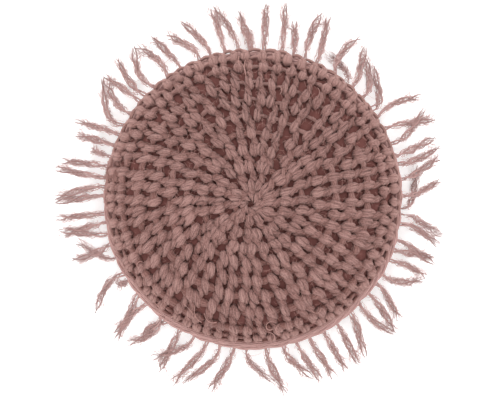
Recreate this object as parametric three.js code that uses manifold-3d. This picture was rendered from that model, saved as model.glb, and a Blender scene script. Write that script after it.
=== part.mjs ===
// A round cushion with a hand-crocheted front and a fringe of loose yarn ends, lying on its back.
// Millimetres, +Z up. The origin is the middle of the flat back that the cushion rests on. Seen
// from above, +Y is the top of the face, and angles run counter-clockwise from +X.
import * as THREE from 'three';
import { mergeVertices } from 'three/addons/utils/BufferGeometryUtils.js';
import Module from 'manifold-3d';

const wasm = await Module();
wasm.setup();

// The cushion's face, out to the crests of the crochet
const FACE_RADIUS = 197.5;
const SEAM_HEIGHT = 45;
const CROWN_HEIGHT = 68;
const CROWN_POWER = 2.4;

// The crochet, whose first round lies a little off the middle of the disc
const CENTRE_X = -3.3;
const CENTRE_Y = -8.3;
const CENTRE_FADE = 5;
const YARN_THICKNESS = 8;
const FOOT_DEPTH = 3.6;
const RIM_DEPTH = 1.2;
const FOOT_ALONG = 0.22;
const HEAD_ALONG = 0.74;
const FOOT_GAP = 0.46;
const HEAD_GAP = 0.36;
const HEAD_LEAN = 3;
const STITCH_SCATTER = 0.07;
const GAP_SCATTER = 0.16;
const OPEN_SIDE = THREE.MathUtils.degToRad(60);
const OPEN_SIDE_EXTRA = 0.16;

// The filled inner cushion in its casing
const CASING_CLEARANCE = 1;
const BACK_RADIUS = 130;
const CASING_SEGMENTS = 66;
const FRONT_STEPS = 7;
const BACK_STEPS = 6;
const GATHERS = 22;
const GATHER_DEPTH = 1.4;

// The edging round under the crochet's last round, and its loose ends
const EDGING_RADIUS = 4.5;
const EDGING_SIDES = 6;
const EDGING_GAP = 0.4;
const EDGING_WAIST = 0.8;
const STRANDS = 71;
const STRAND_WIDTH = 5;
const STRAND_TIP_WIDTH = 4;
const STRAND_HEIGHT = 3;
const STRAND_FALL = 42;
const STRAND_BOW = 1.6;
const LEAN_SCATTER = 0.5;
const REACH_SCATTER = 5;

// The rounds of the crochet from the centre out: where each ends, as a share of the way to the
// rim, how many stitches it has, and whether the casing shows between them.
const ROUNDS = [
  { end: 0.122, stitches: 8, open: false },
  { end: 0.226, stitches: 15, open: false },
  { end: 0.331, stitches: 22, open: true },
  { end: 0.436, stitches: 28, open: true },
  { end: 0.55, stitches: 33, open: true },
  { end: 0.658, stitches: 40, open: true },
  { end: 0.77, stitches: 49, open: true },
  { end: 0.885, stitches: 58, open: true },
  { end: 0.96, stitches: 65, open: false },
  { end: 1, stitches: 70, open: false },
];

// The fringe in twelve parts, clockwise from the top of the face: how far the ends of its strands
// lean clockwise, in degrees, and how far they reach past the rim.
const FRINGE = [
  { lean: -1.3, reach: 64 },
  { lean: -3.5, reach: 56 },
  { lean: -2, reach: 63 },
  { lean: 2, reach: 58 },
  { lean: 2.5, reach: 64 },
  { lean: -3, reach: 65 },
  { lean: 4, reach: 64 },
  { lean: 0.5, reach: 59 },
  { lean: 1, reach: 61 },
  { lean: -2, reach: 64 },
  { lean: 3, reach: 62 },
  { lean: -3.5, reach: 60 },
];

const TURN = 2 * Math.PI;

// A repeatable scatter from -1 to 1 for thing number i of row k
function scatter(k, i) {
  const wave = Math.sin(12.9898 * (k + 1) + 78.233 * (i + 1)) * 43758.5453;
  return 2 * (wave - Math.floor(wave)) - 1;
}

// A point of the crown above (x, y), set down by depth along the inward normal. The crown rises
// as the square root of 1 - q ** CROWN_POWER, where q is the distance from the middle over the
// face's radius.
function crownPoint(x, y, depth) {
  const q = Math.min(Math.hypot(x, y) / FACE_RADIUS, 1);
  const rise = CROWN_HEIGHT * Math.sqrt(1 - q ** CROWN_POWER);
  const steepness = (CROWN_POWER * q ** (CROWN_POWER - 1)) / FACE_RADIUS;
  const normal = new THREE.Vector3(x, y, 0).normalize().multiplyScalar(steepness);
  normal.z = (2 * rise) / CROWN_HEIGHT ** 2;
  return new THREE.Vector3(x, y, SEAM_HEIGHT + rise).addScaledVector(normal.normalize(), -depth);
}

// A point of the crochet, a share of the way from its own centre to the rim. Its circles move
// from the crochet's centre at share 0 to the disc's middle, most of the way in the first rounds.
function crochetPoint(share, angle, depth) {
  const off = (1 - share) ** CENTRE_FADE;
  const x = CENTRE_X * off + FACE_RADIUS * share * Math.cos(angle);
  const y = CENTRE_Y * off + FACE_RADIUS * share * Math.sin(angle);
  return crownPoint(x, y, depth);
}

function meshGeometry(points, triangles) {
  const geometry = new THREE.BufferGeometry();
  const flat = points.flatMap((point) => point.toArray());
  geometry.setAttribute('position', new THREE.Float32BufferAttribute(flat, 3));
  geometry.setIndex(triangles.flat());
  geometry.computeVertexNormals();
  return geometry;
}

// A crochet cloth before it has a thickness: its points, each with a share, an angle and the
// depth of its top, and its triangles, counter-clockwise from above.
class ClothPlan {
  points = [];
  triangles = [];

  addRow(share, depth, angles) {
    const first = this.points.length;
    angles.forEach((angle) => this.points.push({ share, depth, angle }));
    return angles.map((angle, i) => first + i);
  }

  // The strip between two closed rows, the inner one first. Each step takes the row whose next
  // point comes first round the circle.
  bridge(inner, outer) {
    const angleOf = (row, i) =>
      this.points[row[i % row.length]].angle + TURN * Math.floor(i / row.length);
    let start = 0;
    while (angleOf(outer, start) < angleOf(inner, 0) - TURN / outer.length / 2) start += 1;
    let i = 0;
    let j = start;
    while (i < inner.length || j < start + outer.length) {
      const a = inner[i % inner.length];
      const b = outer[j % outer.length];
      const outerDone = j === start + outer.length;
      if (i < inner.length && (outerDone || angleOf(inner, i + 1) < angleOf(outer, j + 1))) {
        i += 1;
        this.triangles.push([a, b, inner[i % inner.length]]);
      } else {
        j += 1;
        this.triangles.push([a, b, outer[j % outer.length]]);
      }
    }
  }

  // The posts between two rows that have two points a stitch, with a gap after each post
  fillPosts(foot, head) {
    for (let i = 0; i < foot.length; i += 2) {
      this.triangles.push([foot[i], head[i], head[i + 1]]);
      this.triangles.push([foot[i], head[i + 1], foot[i + 1]]);
    }
  }

  // The closed solid: a top, an underside at a constant depth, and a wall under each edge that
  // has a triangle on one side only.
  thicken(underside) {
    const count = this.points.length;
    const top = this.points.map((p) => crochetPoint(p.share, p.angle, p.depth));
    const bottom = this.points.map((p) => crochetPoint(p.share, p.angle, underside));
    const faces = [];
    const edges = new Map();
    this.triangles.forEach(([a, b, c]) => {
      faces.push([a, b, c], [a + count, c + count, b + count]);
      [[a, b], [b, c], [c, a]].forEach(([from, to]) => edges.set(`${from} ${to}`, [from, to]));
    });
    edges.forEach(([from, to]) => {
      if (edges.has(`${to} ${from}`)) return;
      faces.push([to, from, from + count], [to, from + count, to + count]);
    });
    return meshGeometry([...top, ...bottom], faces);
  }
}

// The angles of one row of round k, at the sides of each post in an open round and at the middle
// of each stitch in a close one. The gaps are wider toward the open side of the face.
function stitchAngles(k, lean, gap) {
  const { stitches, open } = ROUNDS[k];
  const pitch = TURN / stitches;
  const angles = [];
  for (let i = 0; i < stitches; i += 1) {
    const middle = pitch * (i + STITCH_SCATTER * scatter(k, i)) + lean;
    const width = gap * (1 + OPEN_SIDE_EXTRA * Math.cos(middle - OPEN_SIDE));
    const half = (pitch * (1 - width * (1 + GAP_SCATTER * scatter(k + 20, i)))) / 2;
    if (open) angles.push(middle - half, middle + half);
    else angles.push(middle);
  }
  return angles;
}

// The crocheted front. Every round starts low at the feet of its stitches and rises to their
// heads, and the open rounds have a gap between each two posts.
function crochetFront() {
  const plan = new ClothPlan();
  const centre = plan.addRow(0, FOOT_DEPTH, [0]);
  let last = null;
  ROUNDS.forEach(({ end, open }, k) => {
    const start = k === 0 ? 0 : ROUNDS[k - 1].end;
    const shareAt = (along) => start + (end - start) * along;
    const headShare = shareAt(HEAD_ALONG);
    const lean = HEAD_LEAN / (FACE_RADIUS * headShare);
    const head = plan.addRow(headShare, 0, stitchAngles(k, lean, HEAD_GAP));
    if (last) {
      const foot = plan.addRow(shareAt(FOOT_ALONG), FOOT_DEPTH, stitchAngles(k, 0, FOOT_GAP));
      plan.bridge(last, foot);
      if (open) plan.fillPosts(foot, head);
      else plan.bridge(foot, head);
    } else {
      head.forEach((point, i) => {
        plan.triangles.push([centre[0], point, head[(i + 1) % head.length]]);
      });
    }
    last = head;
  });
  const lastRound = ROUNDS.length - 1;
  plan.bridge(last, plan.addRow(1, RIM_DEPTH, stitchAngles(lastRound, 0, 0)));
  return plan.thicken(YARN_THICKNESS);
}

// The inner cushion: its front follows the crochet's underside, its sides draw in to the seam,
// and below the seam the casing gathers a little, on its way down to the flat back.
function innerCushion() {
  const depth = YARN_THICKNESS + CASING_CLEARANCE;
  const radius = FACE_RADIUS - depth;
  const profile = [new THREE.Vector2(0, 0)];
  for (let i = 0; i <= BACK_STEPS; i += 1) {
    const turn = ((i / BACK_STEPS) * Math.PI) / 2;
    const reach = BACK_RADIUS + (radius - BACK_RADIUS) * Math.sin(turn);
    profile.push(new THREE.Vector2(reach, SEAM_HEIGHT * (1 - Math.cos(turn))));
  }
  for (let i = FRONT_STEPS - 1; i > 0; i -= 1) {
    const point = crownPoint(FACE_RADIUS * Math.sin(((i / FRONT_STEPS) * Math.PI) / 2), 0, depth);
    profile.push(new THREE.Vector2(point.x, point.z));
  }
  profile.push(new THREE.Vector2(0, crownPoint(0, 0, depth).z));
  const geometry = new THREE.LatheGeometry(profile, CASING_SEGMENTS).rotateX(Math.PI / 2);
  const position = geometry.getAttribute('position');
  for (let i = 0; i < position.count; i += 1) {
    const point = new THREE.Vector3().fromBufferAttribute(position, i);
    const height = THREE.MathUtils.clamp(point.z / SEAM_HEIGHT, 0, 1);
    const fold = (1 + Math.sin(GATHERS * Math.atan2(point.y, point.x))) / 2;
    const scale = 1 - (GATHER_DEPTH * fold * Math.sin(height * Math.PI)) / radius;
    position.setXYZ(i, point.x * scale, point.y * scale, point.z);
  }
  return geometry;
}

function toManifold(geometry) {
  geometry.deleteAttribute('normal');
  geometry.deleteAttribute('uv');
  const merged = mergeVertices(geometry, 1e-4);
  const vertProperties = new Float32Array(merged.getAttribute('position').array);
  const triVerts = new Uint32Array(merged.getIndex().array);
  return new wasm.Manifold(new wasm.Mesh({ numProp: 3, vertProperties, triVerts }));
}

function fromManifold(solid) {
  const { vertProperties, triVerts } = solid.getMesh();
  const geometry = new THREE.BufferGeometry();
  geometry.setAttribute('position', new THREE.BufferAttribute(vertProperties, 3));
  geometry.setIndex(new THREE.BufferAttribute(triVerts, 1));
  geometry.computeVertexNormals();
  return geometry;
}

const EDGING_HEIGHT = SEAM_HEIGHT - EDGING_GAP - EDGING_RADIUS;

// The edging round: a ring of chain stitches, one to a strand, each a bead with a waist after it
function edgingRing() {
  const section = [];
  for (let i = 0; i <= EDGING_SIDES; i += 1) {
    const turn = (i / EDGING_SIDES) * TURN;
    section.push(new THREE.Vector2(Math.sin(turn), -Math.cos(turn)).multiplyScalar(EDGING_RADIUS));
  }
  const shifted = section.map((point) => new THREE.Vector2(FACE_RADIUS + point.x, point.y));
  const ring = new THREE.LatheGeometry(shifted, 2 * STRANDS);
  ring.rotateX(Math.PI / 2).rotateZ(Math.PI / 2);
  const position = ring.getAttribute('position');
  for (let i = 0; i < position.count; i += 1) {
    const point = new THREE.Vector3().fromBufferAttribute(position, i);
    const middle = point.clone().setZ(0).setLength(FACE_RADIUS);
    const beads = Math.cos(STRANDS * Math.atan2(point.y, point.x));
    point.sub(middle).multiplyScalar(beads > 0 ? 1 : EDGING_WAIST).add(middle);
    position.setXYZ(i, point.x, point.y, point.z + EDGING_HEIGHT);
  }
  return ring;
}

// The lean and reach of the fringe at an angle, from the two nearest parts of its table
function fringeAt(angle) {
  const parts = FRINGE.length;
  const place = ((Math.PI / 2 - angle) / TURN) * parts - 0.5 + 2 * parts;
  const before = FRINGE[Math.floor(place) % parts];
  const after = FRINGE[Math.ceil(place) % parts];
  const blend = place - Math.floor(place);
  return {
    lean: THREE.MathUtils.lerp(before.lean, after.lean, blend),
    reach: THREE.MathUtils.lerp(before.reach, after.reach, blend),
  };
}

// One strand: it leaves the edging level, falls along half a cosine wave to the floor, and lies
// flat on it from there to its end. Each section is four corners, square to the strand's way.
function strand(i) {
  const root = (i / STRANDS) * TURN;
  const { lean, reach } = fringeAt(root);
  const sideways = -THREE.MathUtils.degToRad(lean + LEAN_SCATTER * scatter(40, i));
  const fallEnd = FACE_RADIUS + STRAND_FALL;
  const tip = FACE_RADIUS + EDGING_RADIUS + reach + REACH_SCATTER * scatter(41, i);
  const lying = STRAND_HEIGHT / 2;
  const drop = EDGING_HEIGHT - lying;
  const reaches = [0, 0.25, 0.45, 0.7, 1].map((part) => FACE_RADIUS + STRAND_FALL * part);
  reaches.push((fallEnd + tip) / 2, tip);
  const corners = [];
  reaches.forEach((distance) => {
    const along = (distance - FACE_RADIUS) / (tip - FACE_RADIUS);
    const fallen = Math.min((distance - FACE_RADIUS) / STRAND_FALL, 1);
    const angle = root + sideways * along ** 1.5;
    const bow = STRAND_BOW * scatter(42, i) * Math.sin(along * Math.PI);
    const out = new THREE.Vector3(Math.cos(angle), Math.sin(angle), 0);
    const left = new THREE.Vector3(-out.y, out.x, 0);
    const slope = ((-drop * Math.PI) / 2 / STRAND_FALL) * Math.sin(fallen * Math.PI);
    const up = new THREE.Vector3(-slope * out.x, -slope * out.y, 1).normalize();
    const middle = out.clone().multiplyScalar(distance).addScaledVector(left, bow);
    middle.z = lying + (drop * (1 + Math.cos(fallen * Math.PI))) / 2;
    const halfWidth = THREE.MathUtils.lerp(STRAND_WIDTH, STRAND_TIP_WIDTH, along) / 2;
    [[-1, -1], [-1, 1], [1, 1], [1, -1]].forEach(([side, rise]) => {
      const corner = middle.clone().addScaledVector(left, side * halfWidth);
      corners.push(corner.addScaledVector(up, (rise * STRAND_HEIGHT) / 2));
    });
  });
  return sweepSquare(corners);
}

// A closed solid through sections of four corners each
function sweepSquare(corners) {
  const last = corners.length - 4;
  const faces = [[0, 1, 2], [0, 2, 3], [last, last + 2, last + 1], [last, last + 3, last + 2]];
  for (let first = 0; first < last; first += 4) {
    for (let k = 0; k < 4; k += 1) {
      const a = first + k;
      const b = first + ((k + 1) % 4);
      faces.push([a, a + 4, b + 4], [a, b + 4, b]);
    }
  }
  return meshGeometry(corners, faces);
}

// The edging round with every strand's root fused into it
function edgeFringe() {
  let solid = toManifold(edgingRing());
  for (let i = 0; i < STRANDS; i += 1) solid = solid.add(toManifold(strand(i)));
  return fromManifold(solid);
}

function piece(name, geometry, colour, roughness) {
  const material = new THREE.MeshStandardMaterial({ color: colour, roughness, metalness: 0 });
  const mesh = new THREE.Mesh(geometry, material);
  mesh.name = name;
  return mesh;
}

const cushion = new THREE.Group();
cushion.add(piece('inner_cushion', innerCushion(), 0x784b48, 0.95));
cushion.add(piece('crochet_front', crochetFront(), 0x9d7872, 0.9));
cushion.add(piece('edge_fringe', edgeFringe(), 0xa67a74, 0.9));

export default cushion;
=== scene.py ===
"""A round hand-crocheted cushion with a fringe of loose yarn ends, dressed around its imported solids.

Metres, +Z up. The cushion lies on its back. Seen from above, +Y is the top of its face, and angles
run counter-clockwise from +X unless a name says clockwise.
"""

from __future__ import annotations

import logging
import math
from dataclasses import dataclass, field
from enum import Enum

import bpy
import numpy as np
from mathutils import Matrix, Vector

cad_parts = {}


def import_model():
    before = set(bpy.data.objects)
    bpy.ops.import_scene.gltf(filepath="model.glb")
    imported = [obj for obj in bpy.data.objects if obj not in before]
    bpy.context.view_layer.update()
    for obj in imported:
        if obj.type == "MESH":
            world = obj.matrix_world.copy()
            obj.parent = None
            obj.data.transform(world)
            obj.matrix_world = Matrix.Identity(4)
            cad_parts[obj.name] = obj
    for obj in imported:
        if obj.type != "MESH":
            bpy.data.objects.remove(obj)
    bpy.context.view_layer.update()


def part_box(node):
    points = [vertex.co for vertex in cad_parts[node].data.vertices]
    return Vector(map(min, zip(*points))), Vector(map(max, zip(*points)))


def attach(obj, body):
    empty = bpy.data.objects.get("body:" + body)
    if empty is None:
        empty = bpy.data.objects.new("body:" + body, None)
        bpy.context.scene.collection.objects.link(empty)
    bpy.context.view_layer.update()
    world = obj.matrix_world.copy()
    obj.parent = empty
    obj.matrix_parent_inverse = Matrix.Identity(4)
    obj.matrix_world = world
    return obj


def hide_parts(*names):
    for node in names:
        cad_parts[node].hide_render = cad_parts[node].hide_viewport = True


log = logging.getLogger("cushion")

TURN = 2 * math.pi
MM = 0.001
BODY = "root"
FACE_RADIUS = 197.5 * MM

# The middle shade of loose hairs, which are paler than the yarn
PALE = 0.6

# How far a strand's level, which sets its painted shade, falls from its top to its side, and the
# shifts of the yarn map from one batch of strands to the next and from one strand to the next
PAINTED_SIDE_SHADE = 0.3
BATCH_SHIFT = 0.731
STRAND_SHIFT = 0.0537

# How far out a ply lies in its strand and how wide it is, as shares of the strand's half width
PLY_OFFSET = 0.28
PLY_WIDTH = 0.76


def scatter(row: int, items: np.ndarray) -> np.ndarray:
    """A repeatable scatter from -1 to 1, the fractional part of a large sine.

    Args:
        row: The row or kind of thing that is scattered.
        items: The numbers of the things in it.

    Returns:
        One value for each item.
    """
    wave = np.sin(12.9898 * (row + 1) + 78.233 * (items + 1)) * 43758.5453
    return 2 * (wave - np.floor(wave)) - 1


def shades(scattered: np.ndarray, middle: float = 0.5) -> np.ndarray:
    """Shades up to 1, about a middle one, from a scatter from -1 to 1."""
    return middle + (1 - middle) * scattered


def unit(vectors: np.ndarray) -> np.ndarray:
    """The vectors over their lengths, along the last axis."""
    return vectors / np.maximum(np.linalg.norm(vectors, axis=-1, keepdims=True), 1e-12)


def across_and_up(path: np.ndarray, side: np.ndarray) -> tuple[np.ndarray, np.ndarray]:
    """Unit directions square to each path: across it, as near to side as it can be, and up.

    Args:
        path: Shape (tubes, stations, 3).
        side: A direction across each tube, shape (tubes, 1 or stations, 3).

    Returns:
        The two directions, each of the path's shape.
    """
    tangent = unit(np.gradient(path, axis=1))
    across = unit(side - (side * tangent).sum(-1, keepdims=True) * tangent)
    return across, np.cross(tangent, across)


def smooth_through(controls: np.ndarray, samples: int) -> np.ndarray:
    """Catmull-Rom curves through rows of control values, all evaluated at once.

    Args:
        controls: Shape (curves, controls, values).
        samples: How many samples each curve gets, its two ends included.

    Returns:
        Shape (curves, samples, values).
    """
    count = controls.shape[1]
    place = np.linspace(0, count - 1, samples)
    first = np.minimum(place.astype(int), count - 2)
    f = (place - first)[None, :, None]
    a, b, c, d = (controls[:, np.clip(first + k, 0, count - 1)] for k in (-1, 0, 1, 2))
    return b + f * (c - a + f * (2 * a - 5 * b + 4 * c - d + f * (3 * (b - c) + d - a))) / 2


class Strand(Enum):
    """The strands of yarn that make up one crochet stitch."""

    FIRST_LEG = 1
    SECOND_LEG = 2
    LOW_WRAP = 3
    HIGH_WRAP = 4
    CORE = 5
    LOOP = 6


FEET = (Strand.FIRST_LEG, Strand.SECOND_LEG)
WRAPS = (Strand.LOW_WRAP, Strand.HIGH_WRAP)
UNDER = (Strand.CORE, Strand.LOOP)


@dataclass(frozen=True)
class Crown:
    """The crochet's outer face: a shallow dome whose rise is the square root of 1 - q ** power.

    q is the distance from the middle over the face's radius. The crochet has a centre of its
    own, a little off the disc's middle, and its rounds shift back to the middle at the rim.

    Attributes:
        radius: The face's radius.
        seam: The height of its rim.
        rise: How much higher its middle is.
        power: The power of q.
        centre: The crochet's own centre.
        centre_fade: The power by which the rounds shift back to the middle.
        thickness: The crochet's thickness.
    """

    radius: float
    seam: float
    rise: float
    power: float = 2.4
    centre: tuple[float, float] = (-3.3 * MM, -8.3 * MM)
    centre_fade: int = 5
    thickness: float = 8 * MM

    def arc_table(self) -> tuple[np.ndarray, np.ndarray, float]:
        """Shares of the way along the dome's profile, the planar shares there, and its length."""
        planar = np.sin(np.linspace(0, math.pi / 2, 1500))
        height = self.rise * np.sqrt(np.maximum(1 - planar**self.power, 0))
        steps = np.hypot(np.diff(planar) * self.radius, np.diff(height))
        along = np.concatenate([[0], np.cumsum(steps)])
        return along / along[-1], planar, float(along[-1])

    def along_from_planar(self, share: np.ndarray) -> np.ndarray:
        """The share along the profile for a planar share of the radius."""
        along, planar, _ = self.arc_table()
        return np.interp(share, planar, along)

    def surface(self, x: np.ndarray, y: np.ndarray) -> tuple[np.ndarray, np.ndarray]:
        """Points of the dome above (x, y), and its outward normals there."""
        q = np.minimum(np.hypot(x, y) / self.radius, 1)
        rise = self.rise * np.sqrt(np.maximum(1 - q**self.power, 0))
        steep = self.power * q ** (self.power - 1) / self.radius
        flat = unit(np.stack([x, y, np.zeros_like(x)], axis=-1))
        normal = flat * steep[..., None]
        normal[..., 2] = 2 * rise / self.rise**2
        return np.stack([x, y, self.seam + rise], axis=-1), unit(normal)

    def face(self, along: np.ndarray, angle: np.ndarray) -> tuple[np.ndarray, np.ndarray]:
        """The dome's points and outward normals at places of the crochet.

        Args:
            along: Shares of the way from the crochet's centre to the rim, along the profile.
            angle: Angles about the crochet's centre.

        Returns:
            The points and the normals, each with a last axis of x, y and z.
        """
        table, planar, _ = self.arc_table()
        share = np.interp(along, table, planar)
        off = (1 - share) ** self.centre_fade
        x = self.centre[0] * off + self.radius * share * np.cos(angle)
        y = self.centre[1] * off + self.radius * share * np.sin(angle)
        return self.surface(x, y)

    def place(self, along: np.ndarray, angle: np.ndarray, height: np.ndarray) -> np.ndarray:
        """Points of the crochet. Past the rim they go straight down.

        Args:
            along: Shares of the way from the crochet's centre to the rim, along the profile.
            angle: Angles about the crochet's centre.
            height: Heights over the crochet's underside.

        Returns:
            The points, with a last axis of x, y and z.
        """
        points, normals = self.face(along, angle)
        points = points - normals * (self.thickness - height)[..., None]
        points[..., 2] -= np.maximum(along - 1, 0) * self.arc_table()[2]
        return points


class YarnMesh:
    """A mesh of many swept strands, each with a UV map in metres along and around it."""

    def __init__(self) -> None:
        """Starts with no strands."""
        self.points: list[np.ndarray] = []
        self.faces: list[np.ndarray] = []
        self.maps: list[np.ndarray] = []
        self.shades: list[np.ndarray] = []
        self.shade_levels: list[np.ndarray] = []
        self.count = 0

    def sweep(self, path: np.ndarray, side: np.ndarray, width: np.ndarray, height: np.ndarray,
              sides: int, shade: np.ndarray, level: np.ndarray | None = None) -> None:
        """Adds closed tubes. A ring point is path + side cos(a) width + up sin(a) height.

        Args:
            path: Shape (tubes, stations, 3).
            side: A direction across each tube, shape (tubes, 1 or stations, 3).
            width: Half widths across, shape (tubes, stations).
            height: Half heights, shape (tubes, stations).
            sides: How many sides a section has.
            shade: One value from 0 to 1 for each tube, for its colour.
            level: How far out of the fabric each station stands, from 0 to 1, or all of the way; sets
                painted shade.
        """
        tubes, stations, _ = path.shape
        across, up = across_and_up(path, side)
        turn = np.arange(sides) * TURN / sides
        flat = np.cos(turn)[:, None] * (width[:, :, None, None] * across[:, :, None])
        tall = np.sin(turn)[:, None] * (height[:, :, None, None] * up[:, :, None])
        rings = path[:, :, None] + flat + tall
        # The level, lower on low stations and on each ring's sides and underside, becomes painted shade
        # in the yarn's material
        shade_level = np.ones((tubes, stations)) if level is None else level
        shade_level = shade_level[:, :, None] + PAINTED_SIDE_SHADE * (np.sin(turn) - 1) * np.sign(up[:, :1, 2:])
        base = self.count + (np.arange(tubes) * stations * sides)[:, None, None]
        here = (np.arange(stations) * sides)[None, :, None] + np.arange(sides)[None, None, :]
        corner = base + here
        after = np.roll(corner, -1, axis=2)
        quads = np.stack([corner[:, :-1], after[:, :-1], after[:, 1:], corner[:, 1:]], axis=-1)
        steps = np.linalg.norm(np.diff(path, axis=1), axis=-1)
        length = np.concatenate([np.zeros((tubes, 1)), np.cumsum(steps, axis=1)], axis=1)
        around = TURN * width.mean() / sides * np.arange(sides + 1)
        offset = (len(self.points) + 1) * BATCH_SHIFT + np.arange(tubes) * STRAND_SHIFT
        u = np.broadcast_to(length[:, :, None], (tubes, stations, sides + 1))
        v = np.broadcast_to(around[None, None, :] + offset[:, None, None], u.shape)
        grid = np.stack([u, v], axis=-1)
        near, far = grid[:, :-1], grid[:, 1:]
        maps = np.stack([near[:, :, :-1], near[:, :, 1:], far[:, :, 1:], far[:, :, :-1]], axis=-2)
        self.points.append(rings.reshape(-1, 3))
        self.faces += [quads.reshape(-1, 4), corner[:, 0, ::-1], corner[:, -1]]
        self.maps += [maps.reshape(-1, 4, 2), grid[:, 0, sides - 1::-1], grid[:, -1, :-1]]
        self.shades.append(np.repeat(shade, stations * sides))
        self.shade_levels.append(np.clip(shade_level, 0, 1).ravel())
        self.count += tubes * stations * sides

    def sweep_plies(self, path: np.ndarray, side: np.ndarray, width: np.ndarray, sides: int,
                    shade: np.ndarray, level: np.ndarray, turns: np.ndarray) -> None:
        """Adds strands of two plies laid loosely round each other.

        Args:
            path: The strands' middle lines, shape (tubes, stations, 3).
            side: A direction across each strand, shape (tubes, 1, 3).
            width: Half widths of the whole strands, shape (tubes, stations).
            sides: How many sides each ply has.
            shade: One value from 0 to 1 for each strand, for its colour.
            level: How far out of the fabric each station stands, from 0 to 1, which sets painted shade.
            turns: The plies' turn at each strand's start and how far it goes on, in radians.
        """
        across, up = across_and_up(path, side)
        run = np.linspace(0, 1, path.shape[1])[None, :]
        for ply in range(2):
            turn = (turns[0][:, None] + turns[1][:, None] * run + math.pi * ply)[..., None]
            away = across * np.cos(turn) + up * np.sin(turn)
            line = path + away * (PLY_OFFSET * width)[..., None]
            self.sweep(line, side, width * PLY_WIDTH, width * PLY_WIDTH, sides, shade, level)

    def build(self, name: str, smooth: bool = True) -> bpy.types.Object:
        """Makes the object, at the origin."""
        values = {"shade": np.concatenate(self.shades), "level": np.concatenate(self.shade_levels)}
        return mesh_object(name, np.concatenate(self.points), self.faces, self.maps, values, smooth)


def mesh_object(name: str, points: np.ndarray, faces: list[np.ndarray], maps: list[np.ndarray],
                values: dict[str, np.ndarray] | None = None, smooth: bool = True) -> bpy.types.Object:
    """A mesh object at the origin, from arrays.

    Args:
        name: The object's name.
        points: Shape (points, 3).
        faces: Arrays of corner indices, one for each count of corners.
        maps: The corners' UV values, in the order of faces.
        values: Attributes by name, each with one value for each point.
        smooth: Whether its faces are shaded smooth.

    Returns:
        The linked object.
    """
    mesh = bpy.data.meshes.new(name)
    sizes = np.concatenate([np.full(len(f), f.shape[1]) for f in faces])
    mesh.vertices.add(len(points))
    mesh.vertices.foreach_set("co", points.astype(np.float32).ravel())
    mesh.loops.add(int(sizes.sum()))
    mesh.loops.foreach_set("vertex_index", np.concatenate([f.ravel() for f in faces]).astype(np.int32))
    mesh.polygons.add(len(sizes))
    starts = np.concatenate([[0], np.cumsum(sizes)[:-1]])
    mesh.polygons.foreach_set("loop_start", starts.astype(np.int32))
    mesh.polygons.foreach_set("use_smooth", np.full(len(sizes), smooth))
    mesh.update(calc_edges=True)
    layer = mesh.uv_layers.new(name="yarn")
    corners = np.concatenate([m.reshape(-1, 2) for m in maps])
    layer.uv.foreach_set("vector", corners.astype(np.float32).ravel())
    for key, given in (values or {}).items():
        attribute = mesh.attributes.new(key, "FLOAT", "POINT")
        attribute.data.foreach_set("value", given.astype(np.float32))
    mesh.validate()
    thing = bpy.data.objects.new(name, mesh)
    bpy.context.scene.collection.objects.link(thing)
    return thing


class Value:
    """A shader socket that can be used in a Python expression, which adds the Math nodes."""

    def __init__(self, shader: Shader, socket: bpy.types.NodeSocket) -> None:
        """Wraps one output socket."""
        self.shader = shader
        self.socket = socket

    def _math(self, operation: str, first: Value | float, second: Value | float) -> Value:
        """One Math node on two values."""
        return self.shader.node("ShaderNodeMath", {"operation": operation}, {0: first, 1: second})

    def __add__(self, other: Value | float) -> Value:
        """The sum."""
        return self._math("ADD", self, other)

    def __sub__(self, other: Value | float) -> Value:
        """The difference."""
        return self._math("SUBTRACT", self, other)

    def __mul__(self, other: Value | float) -> Value:
        """The product."""
        return self._math("MULTIPLY", self, other)

    def __truediv__(self, other: Value | float) -> Value:
        """The quotient."""
        return self._math("DIVIDE", self, other)

    def power(self, exponent: float) -> Value:
        """The value to a power."""
        return self._math("POWER", self, exponent)

    def sine(self) -> Value:
        """The sine of the value in radians."""
        return self._math("SINE", self, 0.0)

    def maximum(self, other: Value | float) -> Value:
        """The larger of two values."""
        return self._math("MAXIMUM", self, other)


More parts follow.
